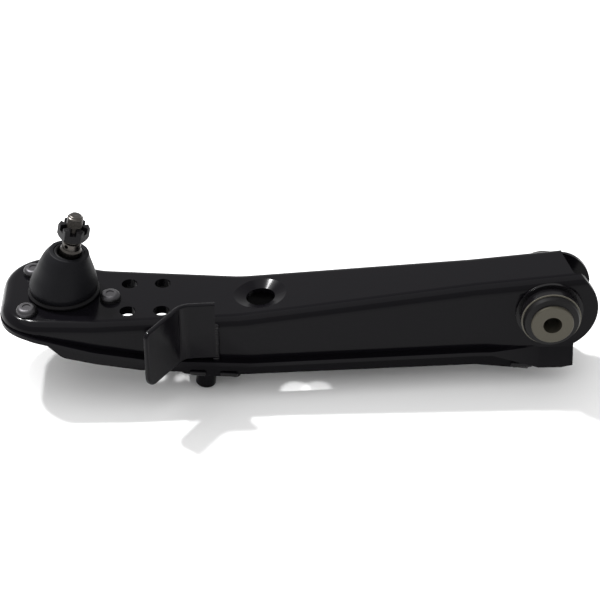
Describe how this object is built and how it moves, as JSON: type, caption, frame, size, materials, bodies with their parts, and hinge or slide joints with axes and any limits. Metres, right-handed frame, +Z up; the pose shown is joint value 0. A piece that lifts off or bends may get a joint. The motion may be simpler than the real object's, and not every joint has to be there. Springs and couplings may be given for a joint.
{
  "type": "suspension control arm",
  "caption": "Pressed-steel lower control arm with a riveted ball joint, a rubber bush, a welded stop bracket and strut rod holes.",
  "frame": {"origin": "on the centre line of the bush's bore, midway between the arm's two walls", "axes": "+Y along the bush's bore, +Z up out of the web that carries the boot, -X from the bush towards the ball joint"},
  "size_m": [0.481, 0.1467, 0.1474],
  "materials": {
    "arm_paint": "glossy black paint",
    "housing_forging": "black coated forging",
    "bearing_plastic": "natural acetal",
    "spring_steel": "oiled spring steel",
    "cover_steel": "pressed steel",
    "fitting_zinc": "zinc plated",
    "rivet_steel": "bare upset steel",
    "boot_rubber": "satin moulded rubber",
    "band_steel": "black coated steel",
    "stud_steel": "turned steel",
    "nut_black": "black phosphated",
    "bush_shell_steel": "black coated steel",
    "bush_rubber": "moulded rubber",
    "sleeve_steel": "bare machined steel"
  },
  "bodies": {
    "arm": {"upper_channel": "arm_paint", "inner_channel": "arm_paint", "stop_bracket": "arm_paint", "stop_bracket_weld": "arm_paint", "tie_plate": "arm_paint", "tie_plate_welds": "arm_paint", "channel_end_welds": "arm_paint", "ball_joint_housing": "housing_forging", "upper_bearing": "bearing_plastic", "preload_spring": "spring_steel", "housing_cover": "cover_steel", "grease_fitting": "fitting_zinc", "ball_joint_rivets": "rivet_steel", "dust_boot": "boot_rubber", "boot_base_ring": "band_steel", "bush_outer_sleeve": "bush_shell_steel", "bush_rubber": "bush_rubber"},
    "sleeve": {"bush_inner_sleeve": "sleeve_steel"},
    "swing": {"pressure_cup": "bearing_plastic"},
    "rock": {"boot_top_ring": "band_steel"},
    "stud": {"ball_stud": "stud_steel"},
    "nut": {"castle_nut": "nut_black"}
  },
  "joints": [
    {"name": "bush_twist", "type": "hinge", "parent": "arm", "child": "sleeve", "pos_m": [0, 0, 0], "axis": [0, 1, 0], "range_deg": [-20, 20], "stiffness_Nm_per_rad": 40},
    {"name": "stud_swing", "type": "hinge", "parent": "arm", "child": "swing", "pos_m": [-0.3905, 0.0085, 0], "axis": [0, 1, 0], "range_deg": [-28.5, 7.5], "deforming": ["dust_boot"]},
    {"name": "stud_rock", "type": "hinge", "parent": "swing", "child": "rock", "pos_m": [-0.3905, 0.0085, 0], "axis": [1, 0, 0], "range_deg": [-18, 18], "deforming": ["dust_boot"]},
    {"name": "stud_spin", "type": "hinge", "parent": "rock", "child": "stud", "pos_m": [-0.3905, 0.0085, 0], "axis": [0.1822, 0, 0.9833], "continuous": true},
    {"name": "nut_turn", "type": "hinge", "parent": "stud", "child": "nut", "pos_m": [-0.3905, 0.0085, 0], "axis": [0.1822, 0, 0.9833], "continuous": true}
  ]
}
